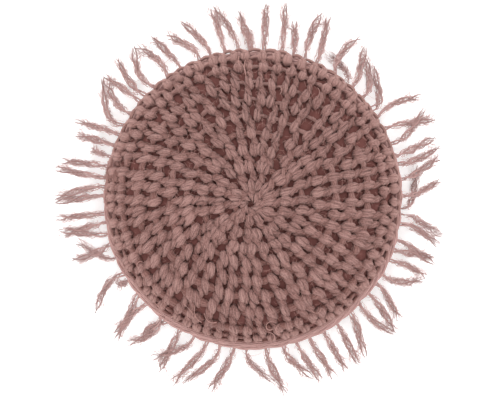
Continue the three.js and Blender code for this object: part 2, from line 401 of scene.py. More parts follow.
class Shader:
    """A material that is being built, with one method for any node."""

    def __init__(self, name: str) -> None:
        """Makes the material with an empty tree."""
        self.material = bpy.data.materials.new(name)
        self.material.use_nodes = True
        self.tree = self.material.node_tree
        self.tree.nodes.clear()

    def node(self, kind: str, settings: dict | None = None, inputs: dict | None = None,
             output: str | int = 0) -> Value:
        """Adds a node.

        Args:
            kind: The node's type.
            settings: Its properties, set first. stops is a ramp's list of (place, colour).
            inputs: Its sockets by name or number, each a plain value or a Value to link.
            output: The output to return.

        Returns:
            The chosen output.
        """
        made = self.tree.nodes.new(kind)
        for key, setting in (settings or {}).items():
            if key != "stops":
                setattr(made, key, setting)
                continue
            ramp = made.color_ramp.elements
            while len(ramp) < len(setting):
                ramp.new(1.0)
            for element, (place, colour) in zip(ramp, setting):
                element.position = place
                element.color = colour
        for key, given in (inputs or {}).items():
            if isinstance(given, Value):
                self.tree.links.new(given.socket, made.inputs[key])
            else:
                made.inputs[key].default_value = given
        return Value(self, made.outputs[output])

    def split(self, vector: Value) -> tuple[Value, Value, Value]:
        """The three parts of a vector."""
        first = self.node("ShaderNodeSeparateXYZ", inputs={0: vector})
        outputs = first.socket.node.outputs
        return first, Value(self, outputs[1]), Value(self, outputs[2])

    def join(self, x: Value | float, y: Value | float, z: Value | float) -> Value:
        """A vector of three parts."""
        return self.node("ShaderNodeCombineXYZ", inputs={0: x, 1: y, 2: z})

    def noise(self, vector: Value, scale: float, detail: float = 2.0) -> Value:
        """A noise pattern from 0 to 1."""
        return self.node("ShaderNodeTexNoise", inputs={"Vector": vector, "Scale": scale,
                                                       "Detail": detail})

    def weighted(self, patterns: dict[str, Value], weights: dict[str, float]) -> Value:
        """The sum of the patterns that weights names, each times its weight."""
        total, *rest = (patterns[name] * weight for name, weight in weights.items())
        for term in rest:
            total = total + term
        return total

    def mix(self, factor: Value | float, first: Value | tuple, second: Value | tuple,
            blend: str = "MIX") -> Value:
        """Two colours mixed."""
        settings = {"data_type": "RGBA", "blend_type": blend}
        return self.node("ShaderNodeMix", settings, {0: factor, 6: first, 7: second}, output=2)

    def finish(self, surface: dict) -> bpy.types.Material:
        """Ends the tree with a Principled shader that has these inputs."""
        principled = self.node("ShaderNodeBsdfPrincipled", inputs=surface)
        output = self.tree.nodes.new("ShaderNodeOutputMaterial")
        self.tree.links.new(principled.socket, output.inputs["Surface"])
        return self.material


def linear(red: int, green: int, blue: int) -> tuple[float, float, float, float]:
    """A colour from its 0 to 255 display values, as the linear light that a shader takes."""
    parts = [c / 255 for c in (red, green, blue)]
    light = [c / 12.92 if c <= 0.04045 else ((c + 0.055) / 1.055) ** 2.4 for c in parts]
    return (*light, 1.0)


@dataclass(frozen=True)
class YarnFinish:
    """Soft roving yarn: fine filaments along each strand, uneven dye and a matt, fuzzy surface, with
    painted shade on low yarn, strands' sides and undersides and between plies, and painted light at the
    rim.

    Attributes:
        name: The material's name.
        light: Its light colour.
        dark: Its dark colour.
        run: How far a filament shows along the strand.
        filament: How wide a filament shows.
        ply: How far apart the ribs on a strand are.
        lay: How far filaments and ribs turn round the strand for each metre along it.
        dye: The scale of the uneven dye.
        fleck: The scale of the small flecks.
        wander: The scale at which the ribs wander, and how far they do, in radians.
        rib: The power that narrows the lines between the ribs, which in the colour are painted shade in
            the creases between plies.
        tones: What each pattern adds to the tone, from dark at 0 to light at 1.
        base: The tone without the patterns.
        heights: What each pattern adds to the bump.
        relief: The bump's distance.
        deep: The tint of the painted shade on yarn that lies deep in the fabric and on strands' sides.
        shade_fade: The power by which the painted shade fades with the height.
        rim_light: How much lighter the yarn is painted at the rim, a painted rim light.
        rim_light_from: Where the painted light starts, from the middle.
        rim_light_over: The distance over which it gets there.
    """

    name: str
    light: tuple[int, int, int]
    dark: tuple[int, int, int]
    run: float = 9 * MM
    filament: float = 0.5 * MM
    ply: float = 2.5 * MM
    lay: float = 0.12
    dye: float = 26.0
    fleck: float = 480.0
    wander: tuple[float, float] = (130.0, 3.0)
    rib: float = 0.4
    tones: dict[str, float] = field(default_factory=lambda: {
        "shade": 0.35, "fibres": 0.6, "dye": 0.3, "fleck": 1.15, "ribs": 0.3})
    base: float = -0.66
    heights: dict[str, float] = field(default_factory=lambda: {
        "fibres": 0.8, "fleck": 0.9, "ribs": 1.0})
    relief: float = 1.0 * MM
    # The tint and fade of the painted shade on low yarn and strands' undersides
    deep: tuple[int, int, int] = (165, 118, 108)
    shade_fade: float = 0.8
    # The painted rim light: the yarn's colour is made lighter towards the rim
    rim_light: float = 0.65
    rim_light_from: float = 172 * MM
    rim_light_over: float = 26 * MM

    def material(self) -> bpy.types.Material:
        """Builds the material on the piece's own yarn map, shade attribute and level attribute, which
        sets its painted shade.
        """
        s = Shader(self.name)
        along, around, _ = s.split(s.node("ShaderNodeUVMap", {"uv_map": "yarn"}))
        lay = around + along * self.lay
        laid = s.join(along / self.run, lay / self.filament, 0.0)
        place = s.node("ShaderNodeTexCoord", output="Object")
        wander_scale, wander_reach = self.wander
        wander = s.noise(place, wander_scale, 1.0)
        # The ribs' narrow dark lines are painted shade in the creases between plies in the colour, and
        # relief in the bump
        ribs = (lay * (math.pi / self.ply) + wander * wander_reach).sine()
        patterns = {
            "shade": s.node("ShaderNodeAttribute", {"attribute_name": "shade"}, output="Fac"),
            "fibres": s.noise(laid, 1.0, 3.0),
            "dye": s.noise(place, self.dye),
            "fleck": s.noise(place, self.fleck),
            "ribs": (ribs * ribs + 0.001).power(self.rib),
        }
        x, y, _ = s.split(place)
        # Painted light: the tone rises with the distance from the middle, lighter at the rim
        rim_light = ((x * x + y * y).power(0.5) - self.rim_light_from) * (self.rim_light / self.rim_light_over)
        tone = s.weighted(patterns, self.tones) + self.base + rim_light.maximum(0.0)
        colour = s.mix(tone, linear(*self.dark), linear(*self.light))
        # Painted shade: yarn low in the fabric and on the strands' sides and undersides is tinted
        # darker
        level = s.node("ShaderNodeAttribute", {"attribute_name": "level"}, output="Fac")
        depth = s.mix(level.power(self.shade_fade), linear(*self.deep), linear(255, 255, 255))
        bump = s.node("ShaderNodeBump", inputs={"Height": s.weighted(patterns, self.heights),
                                                "Strength": 1.0, "Distance": self.relief})
        return s.finish({
            "Base Color": s.mix(1.0, colour, depth, "MULTIPLY"),
            "Roughness": 0.92,
            "Sheen Weight": 0.15,
            "Sheen Roughness": 0.6,
            "Sheen Tint": linear(245, 218, 210),
            "Specular IOR Level": 0.15,
            "Normal": bump,
        })


@dataclass(frozen=True)
class HairFinish:
    """Single fine hairs, matt, each in a tone of its own.

    Attributes:
        name: The material's name.
        light: Its light colour.
        dark: Its dark colour.
    """

    name: str
    light: tuple[int, int, int]
    dark: tuple[int, int, int]

    def material(self) -> bpy.types.Material:
        """Builds the material on the piece's shade attribute."""
        s = Shader(self.name)
        shade = s.node("ShaderNodeAttribute", {"attribute_name": "shade"}, output="Fac")
        colour = s.mix(shade, linear(*self.dark), linear(*self.light))
        return s.finish({"Base Color": colour, "Roughness": 1.0, "Specular IOR Level": 0.0})


@dataclass(frozen=True)
class CasingFinish:
    """Plain woven cotton: two sets of fine threads that pass over and under each other.

    Attributes:
        name: The material's name.
        light: Its light colour.
        dark: Its dark colour.
        thread: How far apart the threads are.
        wander: The scale at which the threads wander, and how far they do, in radians.
        slub: The scale of the threads' thick and thin stretches.
        crossing: How much the crossings stand out of the weave.
        tones: What the weave and the slubs add to the tone, from dark at 0 to light at 1.
        base: The tone without them.
        heights: What they add to the bump.
    """

    name: str
    light: tuple[int, int, int]
    dark: tuple[int, int, int]
    thread: float = 0.9 * MM
    wander: tuple[float, float] = (90.0, 1.5)
    slub: float = 140.0
    crossing: float = 0.35
    tones: dict[str, float] = field(default_factory=lambda: {"weave": 0.5, "slub": 0.7})
    base: float = -0.15
    heights: dict[str, float] = field(default_factory=lambda: {"weave": 1.0, "slub": 0.6})

    def material(self) -> bpy.types.Material:
        """Builds the material on the piece's own place."""
        s = Shader(self.name)
        place = s.node("ShaderNodeTexCoord", output="Object")
        wander_scale, wander_reach = self.wander
        wander = s.noise(place, wander_scale, 1.0) * wander_reach
        x, y, _ = s.split(place)
        turns = math.pi / self.thread
        warp = (x * turns + wander).sine()
        weft = (y * turns + wander).sine()
        patterns = {
            "weave": warp * warp * 0.5 + weft * weft * 0.5 + warp * weft * self.crossing,
            "slub": s.noise(place, self.slub, 3.0),
        }
        tone = s.weighted(patterns, self.tones) + self.base
        bump = s.node("ShaderNodeBump", inputs={"Height": s.weighted(patterns, self.heights),
                                                "Strength": 0.5, "Distance": 0.3 * MM})
        return s.finish({
            "Base Color": s.mix(tone, linear(*self.dark), linear(*self.light)),
            "Roughness": 0.95,
            "Sheen Weight": 0.15,
            "Specular IOR Level": 0.1,
            "Normal": bump,
        })


@dataclass(frozen=True)
class Round:
    """One round of the crochet.

    Attributes:
        end: Where it ends, as a planar share of the way to the rim.
        stitches: How many stitches it has.
    """

    end: float
    stitches: int


ROUNDS = (
    Round(0.112, 8),
    Round(0.226, 15),
    Round(0.331, 22),
    Round(0.436, 28),
    Round(0.55, 33),
    Round(0.658, 40),
    Round(0.77, 49),
    Round(0.885, 58),
    Round(0.945, 65),
    Round(0.98, 70),
)

# Each strand of a stitch, as rows of: share of the round's height, counter-clockwise share of the
# stitch's width, height over the crochet's underside in mm, and half the strand's width in mm.
STITCH = {
    Strand.FIRST_LEG: (
        (-0.33, 0.0, 0.0, 2.0),
        (-0.32, -0.04, 3.4, 2.9),
        (-0.22, -0.09, 5.9, 3.5),
        (-0.07, -0.11, 6.8, 3.6),
        (0.09, -0.10, 6.4, 3.4),
        (0.21, -0.07, 5.2, 3.1),
        (0.30, -0.04, 3.2, 2.7),
        (0.35, -0.02, 1.0, 2.0),
    ),
    Strand.SECOND_LEG: (
        (-0.28, 0.06, 0.0, 2.0),
        (-0.27, 0.08, 3.4, 2.8),
        (-0.17, 0.11, 5.6, 3.4),
        (-0.02, 0.13, 6.4, 3.5),
        (0.13, 0.12, 6.1, 3.3),
        (0.26, 0.10, 4.9, 3.0),
        (0.36, 0.07, 3.2, 2.6),
        (0.41, 0.05, 1.0, 2.0),
    ),
    Strand.LOW_WRAP: (
        (0.16, -0.25, 0.0, 2.2),
        (0.19, -0.23, 2.4, 2.9),
        (0.28, -0.17, 4.2, 3.5),
        (0.38, -0.10, 5.2, 3.6),
        (0.48, -0.02, 5.2, 3.6),
        (0.57, 0.05, 4.3, 3.3),
        (0.64, 0.10, 2.8, 2.8),
        (0.68, 0.13, 0.6, 2.2),
    ),
    Strand.HIGH_WRAP: (
        (0.46, -0.21, 0.0, 2.0),
        (0.48, -0.19, 2.0, 2.6),
        (0.55, -0.14, 3.4, 3.0),
        (0.64, -0.07, 4.0, 3.2),
        (0.74, 0.01, 3.8, 3.1),
        (0.83, 0.07, 3.1, 2.9),
        (0.9, 0.11, 2.0, 2.5),
        (0.94, 0.14, 0.6, 2.0),
    ),
    Strand.CORE: (
        (-0.1, 0.01, 1.6, 2.0),
        (0.25, 0.0, 2.4, 2.7),
        (0.6, 0.0, 2.6, 3.0),
        (0.95, 0.08, 2.2, 2.4),
    ),
    Strand.LOOP: (
        (0.97, 0.0, 2.2, 2.4),
        (0.99, 0.2, 4.6, 2.9),
        (1.01, 0.45, 5.6, 3.1),
        (0.99, 0.7, 5.0, 2.9),
        (0.96, 0.98, 2.4, 2.4),
    ),
}


@dataclass
class CrochetFront:
    """The crocheted front: every stitch of every round in real strands of yarn.

    Attributes:
        crown: The dome that it covers.
        rounds: Its rounds, from the centre out.
        stations: How many points each kind of strand gets.
        sides: How many sides a loop or core has.
        ply_sides: How many sides each ply of a foot or wrap has.
        ply_start: How much the plies' turn scatters at a strand's start, in radians.
        ply_turn: How far the plies turn along a strand, in radians, and how much that scatters.
        inner_rounds: How many rounds are in the inner pieces.
        drawn_pitch: The pitch for which the table's widths are drawn.
        yarn_room: The pitch below which strands are thinner than in the table.
        least_fit: The least share of its table's width that a strand gets.
        least_reach: The least distance from the centre that angles are worked out for.
        top: The height at which a strand is all out of the fabric and gets no painted shade.
        hole: The centre hole's radius, as a share of the face's.
        first_row: Where the first round's stitches start, as a share of the round.
        column_lean: How far a stitch stands counter-clockwise of the one that it grows out of.
        pair: How far two stitches that grow out of one are apart, in pitches.
        pair_shift: How far the pairs of a round are shifted from those of the round before.
        hold: How much of the stitches' uneven spacing the yarn keeps.
        place_scatter: How much the stitches' places scatter, in pitches.
        lean: How far strands lean with the stitch, as a share of its height.
        lean_by_kind: The share of the lean that each kind of strand takes.
        tilt: The stitches' mean tilt, and how much it changes round the face.
        start_tilt: The same for the first round.
        tilt_scatter: How much the tilt scatters.
        leaning_side: The side of the face on which the tilt is largest.
        plumpness: The strands' width, as a share of the table's.
        size_scatter: How much it scatters.
        row_scatter: How much the stitches' rows scatter, as a share of the round.
        width_scatter: How much the stitches' widths scatter.
        height_scatter: How much their heights scatter.
        wobble: How much each column of the table scatters from point to point.
        stir: How much more that is for the first two columns in the closed rounds.
        close_rounds: How many rounds at the centre are closed.
        close_spread: How much wider their stitches are.
        close_plumpness: How much thicker their strands are.
        close_lean: The share of the lean that they take.
        full_from: The first of the full rounds at the rim.
        full_plumpness: How much thicker their strands are.
        rim_loop: The width of their loops.
        open_side: The side of the face on which the gaps are widest.
        closed_width: How much thicker the strands are on the other side.
        open_side_slimming: How much of that they lose on the open side.
        closed_sharpness: The power by which they lose it.
        wrap_share: How much of the change in width the wraps take.
        loop_contrast: The power of that change for the loops.
        loop_low: The height of a loop on the closed side, as a share of the table's.
        overhang: How far the rim's upper side is lifted over the edging.
        overlap: How far it reaches out over it, as a share of the radius.
        over_from: Where that starts, as a planar share of the radius.
        over_width: The width over which it grows to all of it.
        flatness: A loop's or core's height, as a share of its width.
    """

    crown: Crown
    rounds: tuple[Round, ...] = ROUNDS
    stations: dict[Strand, int] = field(default_factory=lambda: {
        Strand.FIRST_LEG: 11, Strand.SECOND_LEG: 11, Strand.LOW_WRAP: 11, Strand.HIGH_WRAP: 11,
        Strand.CORE: 6, Strand.LOOP: 9})
    sides: int = 8
    ply_sides: int = 6
    ply_start: float = 0.5
    ply_turn: tuple[float, float] = (1.6, 0.4)
    inner_rounds: int = 7
    drawn_pitch: float = 18.5 * MM
    yarn_room: float = 12 * MM
    least_fit: float = 0.3
    least_reach: float = 4 * MM
    top: float = 7 * MM
    hole: float = 0.028
    first_row: float = 0.21
    column_lean: float = 3 * MM
    pair: float = 0.3
    pair_shift: float = 0.37
    hold: float = 0.15
    place_scatter: float = 0.26
    lean: float = 0.42
    lean_by_kind: dict[Strand, float] = field(default_factory=lambda: {
        Strand.FIRST_LEG: 1.0, Strand.SECOND_LEG: 1.0, Strand.LOW_WRAP: 0.1, Strand.HIGH_WRAP: 0.1,
        Strand.CORE: 0.0, Strand.LOOP: 0.0})
    tilt: tuple[float, float] = (0.55, 0.7)
    start_tilt: tuple[float, float] = (2.6, 0.3)
    tilt_scatter: float = 0.45
    leaning_side: float = math.radians(200)
    plumpness: float = 1.02
    size_scatter: float = 0.11
    row_scatter: float = 0.04
    width_scatter: float = 0.12
    height_scatter: float = 0.45 * MM
    wobble: tuple[float, ...] = (0.03, 0.035, 0.4, 0.4)
    stir: float = 1.5
    close_rounds: int = 4
    close_spread: float = 1.2
    close_plumpness: float = 1.12
    close_lean: float = 0.4
    full_from: int = 8
    full_plumpness: float = 1.2
    rim_loop: float = 0.85
    open_side: float = math.radians(78)
    closed_width: float = 1.28
    open_side_slimming: float = 0.39
    closed_sharpness: float = 3.0
    wrap_share: float = 0.9
    loop_contrast: float = 2.2
    loop_low: float = 0.55
    overhang: float = 4 * MM
    overlap: float = 0.014
    over_from: float = 0.92
    over_width: float = 0.05
    flatness: float = 0.94

    def stitch_angles(self) -> list[np.ndarray]:
        """The angle of every stitch, round by round.

        Each stitch grows out of one of the round before, a little counter-clockwise of it. Where a
        round has more stitches, some grow in pairs out of one. The yarn then spreads the stitches
        part of the way to an even spacing.
        """
        rows = [np.arange(self.rounds[0].stitches) * TURN / self.rounds[0].stitches]
        for k in range(1, len(self.rounds)):
            before, count = rows[-1], self.rounds[k].stitches
            extra = (count - len(before)) / len(before)
            place = (np.arange(len(before)) + self.pair_shift * k) * extra
            grown = 1 + (np.floor(place + extra) - np.floor(place)).astype(int)
            parent = np.repeat(np.arange(len(before)), grown)
            later = np.concatenate([[False], parent[1:] == parent[:-1]])
            pitch = TURN / count
            apart = np.where(grown[parent] == 2, np.where(later, 1, -1), 0) * self.pair * pitch
            lean = self.column_lean / (self.crown.radius * self.rounds[k].end)
            grown_at = before[parent] + apart + lean
            even = pitch * np.arange(count)
            even = even + (grown_at - even).mean()
            spread = even + (grown_at - even) * self.hold
            rows.append(spread + pitch * self.place_scatter * scatter(k, np.arange(count)))
        return rows

    def shapes(self, k: int, kind: Strand) -> np.ndarray:
        """The rows of the stitch table for every stitch of a round, each a little its own.

        Args:
            k: The round's number, from 0 at the centre.
            kind: Which strand of the stitch.

        Returns:
            Shape (stitches, rows, columns).
        """
        numbers = np.arange(self.rounds[k].stitches)
        shape = np.repeat(np.array(STITCH[kind])[None], len(numbers), axis=0)
        shape[:, :, 0] += self.row_scatter * scatter(70 + k, numbers)[:, None]
        if k == 0:
            shape[:, :, 0] = self.first_row + (1 - self.first_row) * shape[:, :, 0]
        shape[:, :, 1] *= 1 + self.width_scatter * scatter(80 + k, numbers)[:, None]
        shape[:, :, 3] *= self.plumpness + self.size_scatter * scatter(60 + k, numbers)[:, None]
        spots = numbers[:, None] * 11 + np.arange(shape.shape[1])[None, :] + 97 * kind.value
        for column, reach in enumerate(self.wobble):
            stirred = column < 2 and not self.close_rounds <= k < self.full_from
            reach = reach * (self.stir if stirred else 1)
            shape[:, :, column] += reach * scatter(120 + 4 * k + column, spots)
        return shape

    def widths(self, k: int, kind: Strand, facing: np.ndarray) -> np.ndarray:
        """How wide strands are, as a share of the table's width.

        Args:
            k: The round's number.
            kind: Which strand of the stitch.
            facing: How far each point is on the open side, from 0 to 1.

        Returns:
            One share for each point.
        """
        if kind is Strand.LOOP and k >= self.full_from:
            return np.full_like(facing, self.rim_loop)
        share = self.closed_width - self.open_side_slimming * facing**self.closed_sharpness
        if k < self.close_rounds:
            share = np.full_like(facing, self.close_plumpness)
        if k >= self.full_from:
            share = np.full_like(facing, self.full_plumpness)
        if kind in WRAPS:
            return 1 + (share - 1) * self.wrap_share
        return share**self.loop_contrast if kind is Strand.LOOP else share

    def strands(self, mesh: YarnMesh, k: int, kind: Strand, middle: np.ndarray) -> None:
        """Adds one kind of strand for every stitch of a round.

        Args:
            mesh: The mesh that takes the strands.
            k: The round's number, from 0 at the centre.
            kind: Which strand of the stitch.
            middle: The angles of the round's stitches.
        """
        this = self.rounds[k]
        numbers = np.arange(this.stitches)
        close = k < self.close_rounds
        start = self.rounds[k - 1].end if k else 0.0
        low, high = self.crown.along_from_planar(np.array([start or self.hole, this.end]))
        curve = smooth_through(self.shapes(k, kind), self.stations[kind])
        along = np.maximum(low + (high - low) * curve[:, :, 0], self.hole / 3)
        planar = np.interp(along, *self.crown.arc_table()[:2])
        reach = np.maximum(planar * self.crown.radius, self.least_reach)

        steady, swung = self.tilt if k else self.start_tilt
        tilt = steady + swung * np.cos(middle - self.leaning_side)
        tilt = tilt + self.tilt_scatter * scatter(90 + k, numbers)
        rows = (this.end - start) * self.crown.radius * (curve[:, :, 0] - curve[:, :, :1].mean(axis=1))
        lean = self.lean * (self.close_lean if close else 1)
        swing = lean * self.lean_by_kind[kind] * tilt[:, None] * rows
        room = reach * (TURN / this.stitches)
        fits = np.clip(room / self.yarn_room, self.least_fit, 1)
        drawn = self.drawn_pitch * fits * (self.close_spread if close else 1)
        across = curve[:, :, 1] * (room if kind is Strand.LOOP else drawn)
        angle = middle[:, None] + (across + swing) / reach

        facing = (1 + np.cos(angle - self.open_side)) / 2
        height = curve[:, :, 2] * MM + self.height_scatter * scatter(100 + k, numbers)[:, None]
        if kind is Strand.LOOP:
            height = height * (self.loop_low + (1 - self.loop_low) * (0 if close else facing))
        upper = (1 + np.sin(angle)) / 2
        over = np.clip((planar - self.over_from) / self.over_width, 0, 1) * upper
        height = height + self.overhang * over
        path = self.crown.place(along, angle, height)
        path[..., :2] *= 1 + self.overlap * over[..., None]

        half = along.shape[1] // 2
        normal = self.crown.face(along[:, half], angle[:, half])[1]
        side = unit(np.cross(normal, path[:, -1] - path[:, 0]))[:, None]
        width = curve[:, :, 3] * MM * self.widths(k, kind, facing) * fits
        shade = shades(scatter(110 + k + 7 * kind.value, numbers))
        # How far out of the fabric each point is, which sets the painted shade on low yarn
        level = np.clip(height / self.top, 0, 1)
        if kind in UNDER:
            mesh.sweep(path, side, width, width * self.flatness, self.sides, shade, level)
            return
        turn, turn_scatter = self.ply_turn
        turns = (self.ply_start * scatter(140 + k + 7 * kind.value, numbers),
                 turn * (1 + turn_scatter * scatter(160 + k + 7 * kind.value, numbers)))
        mesh.sweep_plies(path, side, width, self.ply_sides, shade, level, turns)

    def build(self) -> list[bpy.types.Object]:
        """The stitches' feet, the wraps over them, and the loops and cores under and between."""
        inner, outer = range(self.inner_rounds), range(self.inner_rounds, len(self.rounds))
        parts = (
            ("crochet_inner_feet", FEET, inner),
            ("crochet_outer_feet", FEET, outer),
            ("crochet_inner_wraps", WRAPS, inner),
            ("crochet_outer_wraps", WRAPS, outer),
            ("crochet_loops", UNDER, range(len(self.rounds))),
        )
        angles = self.stitch_angles()
        made = []
        for name, kinds, rounds in parts:
            mesh = YarnMesh()
            for k in rounds:
                for kind in kinds:
                    self.strands(mesh, k, kind, angles[k])
            made.append(mesh.build(name))
        return made


@dataclass
class InnerCushion:
    """The filled inner cushion in its plain casing, flat where it rests on its back.

    Attributes:
        crown: The dome over it.
        clearance: The space between it and the crochet.
        back_radius: The radius of the flat on which it rests.
        swell: How much further out it comes at the rim.
        swell_power: The power by which it does, from the middle to the rim.
        gathers: How many gathers there are round the side.
        gather_depth: How deep they are.
        gather_drift: How unevenly they are spaced, in radians.
        gather_drifts: How many times they are close and wide round the side.
        columns: How many points it has round the middle.
        innermost: The distance of the first of them from the middle.
        flat_rows: How many rows the flat has.
        back_rows: How many rows there are from the flat to the widest line.
        front_rows: How many there are from there to the top.
    """

    crown: Crown
    clearance: float = 1 * MM
    back_radius: float = 130 * MM
    swell: float = 3.6 * MM
    swell_power: int = 6
    gathers: int = 22
    gather_depth: float = 1.4 * MM
    gather_drift: float = 2.0
    gather_drifts: int = 3
    columns: int = 264
    innermost: float = 4 * MM
    flat_rows: int = 11
    back_rows: int = 30
    front_rows: int = 34

    def profile(self) -> np.ndarray:
        """The section from the middle of the back to the top, rows of radius and height."""
        depth = self.crown.thickness + self.clearance
        radius = self.crown.radius - depth + self.swell
        flat = np.linspace(self.innermost, self.back_radius, self.flat_rows + 1)[:-1]
        turn = np.linspace(0, math.pi / 2, self.back_rows)
        reach = self.back_radius + (radius - self.back_radius) * np.sin(turn)
        rise = self.crown.seam * (1 - np.cos(turn))
        planar = self.crown.radius * np.sin(np.linspace(math.pi / 2, 0, self.front_rows))[1:-1]
        points, normals = self.crown.surface(planar, np.zeros_like(planar))
        power = self.swell_power
        swell = self.swell * planar[:, None] ** power / self.crown.radius**power
        front = points - normals * (depth - swell)
        back = np.concatenate([np.stack([flat, np.zeros_like(flat)], 1), np.stack([reach, rise], 1)])
        return np.concatenate([back, front[:, [0, 2]]])

    def build(self) -> bpy.types.Object:
        """The closed surface, turned about the middle, with small gathers under the seam."""
        profile = self.profile()
        rows = len(profile)
        angle = np.arange(self.columns) * TURN / self.columns
        height = np.clip(profile[:, 1] / self.crown.seam, 0, 1)
        drift = self.gather_drift * np.sin(self.gather_drifts * angle[None, :])
        fold = (1 + np.sin(self.gathers * angle[None, :] + drift)) / 2
        reach = profile[:, :1] - self.gather_depth * fold * np.sin(height * math.pi)[:, None]
        x, y = reach * np.cos(angle), reach * np.sin(angle)
        z = np.broadcast_to(profile[:, 1:], x.shape)
        grid = np.stack([x, y, z], axis=-1).reshape(-1, 3)
        top = self.crown.surface(np.zeros(1), np.zeros(1))[0][0]
        top = top - (0, 0, self.crown.thickness + self.clearance)
        points = np.concatenate([grid, [[0, 0, 0]], [top]])
        corner = np.arange(rows * self.columns).reshape(rows, self.columns)
        after = np.roll(corner, -1, axis=1)
        quads = np.stack([corner[:-1], after[:-1], after[1:], corner[1:]], axis=-1).reshape(-1, 4)
        bottom, peak = len(grid), len(grid) + 1
        under = np.stack([after[0], corner[0], np.full(self.columns, bottom)], axis=-1)
        over = np.stack([corner[-1], after[-1], np.full(self.columns, peak)], axis=-1)
        maps = [points[f][..., :2] for f in (quads, under, over)]
        return mesh_object("casing", points, [quads, under, over], maps)


@dataclass
class Edging:
    """The edging round under the crochet's rim: strands of yarn laid loosely over a plump core.

    Attributes:
        crown: The dome whose rim it runs round.
        drop: How far its middle is below the seam.
        inset: How far its middle is inside the face's radius.
        drawn_under: How much further in that is at the top of the face.
        strands: How many strands lie round each other.
        turns: How many times they turn round each other.
        strand: A strand's radius.
        offset: How far a strand's middle is from theirs.
        sway: How far the strands run in and out.
        unevenness: How much their turn, their distance and their width vary.
        waves: How many waves those three and the sway have round the rim.
        core: The core's radius.
        core_inset: How far the core is further in.
        core_lift: How far it is further up.
        stations: How many points a strand has.
        sides: How many sides it has.
    """

    crown: Crown
    drop: float = 3.4 * MM
    inset: float = 0.6 * MM
    drawn_under: float = 4.4 * MM
    strands: int = 3
    turns: int = 15
    strand: float = 2.6 * MM
    offset: float = 2.6 * MM
    sway: float = 0.4 * MM
    unevenness: tuple[float, float, float] = (0.6, 0.12, 0.08)
    waves: tuple[int, int, int, int] = (5, 37, 61, 11)
    core: float = 4.6 * MM
    core_inset: float = 3 * MM
    core_lift: float = 1.5 * MM
    stations: int = 560
    sides: int = 9

    def build(self) -> bpy.types.Object:
        """Sweeps the strands and the core once round the rim. Each is closed where its ends meet."""
        mesh = YarnMesh()
        turn_vary, offset_vary, width_vary = self.unevenness
        turn_waves, offset_waves, width_waves, sway_waves = self.waves
        along = np.linspace(0, TURN, self.stations + 1)[None, :]
        ring = np.stack([np.cos(along), np.sin(along), np.zeros_like(along)], axis=-1)
        middle = self.crown.radius - self.inset - self.drawn_under * (1 + np.sin(along)) / 2
        level = self.crown.seam - self.drop
        for k in range(self.strands):
            turn = along * self.turns + TURN * k / self.strands
            turn = turn + turn_vary * np.sin(turn_waves * along + k)
            apart = self.offset * (1 + offset_vary * np.sin(offset_waves * along + 2 * k))
            reach = middle + apart * np.cos(turn) + self.sway * np.sin(sway_waves * along)
            path = ring * reach[..., None]
            path[..., 2] = level + apart * np.sin(turn)
            width = self.strand * (1 + width_vary * np.sin(width_waves * along + 3 * k))
            mesh.sweep(path, ring, width, width, self.sides, np.array([0.3 + 0.2 * k]))
        path = ring * (middle - self.core_inset)[..., None]
        path[..., 2] = level + self.core_lift
        width = np.full(along.shape, self.core)
        mesh.sweep(path, ring, width, width, self.sides, np.array([0.1]))
        return mesh.build("edging_round")


@dataclass(frozen=True)
class Lock:
    """One loose yarn end of the fringe, as it lies in the photo.

    Attributes:
        root: Its root's direction from the crochet's centre, in degrees clockwise from the top.
        tip: Its tip's direction, in the same way.
        reach: Its tip's distance from the crochet's centre, in mm.
        bow: How far its middle bows clockwise, in mm.
        body: Its thickness, as a share of a full lock.
        lift: How high its far half lies on what is under it, in mm.
    """

    root: float
    tip: float
    reach: float
    bow: float = 0
    body: float = 1
    lift: float = 0


